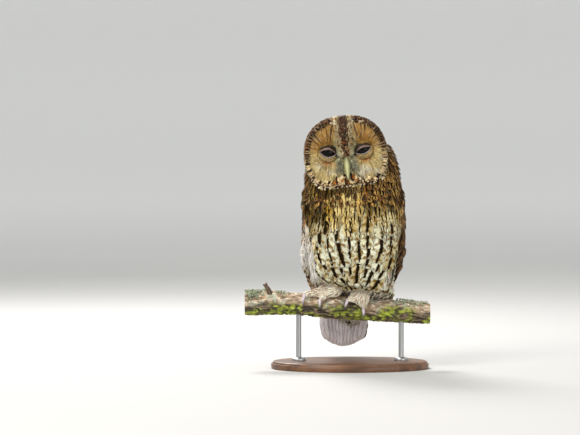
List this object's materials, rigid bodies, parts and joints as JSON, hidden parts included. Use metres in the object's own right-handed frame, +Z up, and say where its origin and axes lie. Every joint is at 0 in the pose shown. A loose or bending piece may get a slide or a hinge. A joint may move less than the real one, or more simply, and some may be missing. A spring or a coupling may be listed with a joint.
{
  "type": "tawny owl model",
  "caption": "Life-size tawny owl with half-closed eyes, perched on a short cut branch that two rods hold over a flat oval base.",
  "frame": {"origin": "middle of the stand base's flat underside", "axes": "+Z up; the owl faces -Y; +X is towards the owl's left, along the branch"},
  "size_m": [0.282, 0.17, 0.3863],
  "materials": {
    "head_plumage": "soft, mottled brown feathers",
    "face_plumage": "fine buff feathers in fans",
    "body_plumage": "soft feathers, buff and white with dark streaks",
    "wing_plumage": "warm brown feathers with pale spots",
    "flight_feathers": "stiffer barred feathers",
    "leg_down": "short, dense, pale down",
    "eyelid_skin": "thin bare skin",
    "eye": "polished, dark brown",
    "bill_horn": "satin, greenish yellow",
    "claw_horn": "satin, pale at the root and dark at the tip",
    "bark": "rough bark with moss and lichen",
    "stand_wood": "oiled oak",
    "stand_steel": "brushed"
  },
  "bodies": {
    "root": {"head": "head_plumage", "facial_disc": "face_plumage", "neck": "body_plumage", "trunk": "body_plumage", "tail": "flight_feathers", "bill_upper": "bill_horn", "bill_lower": "bill_horn", "perch_branch": "bark", "stand_base": "stand_wood", "eye_right": "eye", "eyelid_upper_right": "eyelid_skin", "eyelid_lower_right": "eyelid_skin", "wing_right": "wing_plumage", "primaries_right": "flight_feathers", "leg_right": "leg_down", "stand_rod_right": "stand_steel", "claw_right_1": "claw_horn", "claw_right_2": "claw_horn", "claw_right_3": "claw_horn", "claw_right_4": "claw_horn", "eye_left": "eye", "eyelid_upper_left": "eyelid_skin", "eyelid_lower_left": "eyelid_skin", "wing_left": "wing_plumage", "primaries_left": "flight_feathers", "leg_left": "leg_down", "stand_rod_left": "stand_steel", "claw_left_1": "claw_horn", "claw_left_2": "claw_horn", "claw_left_3": "claw_horn", "claw_left_4": "claw_horn"}
  },
  "joints": []
}
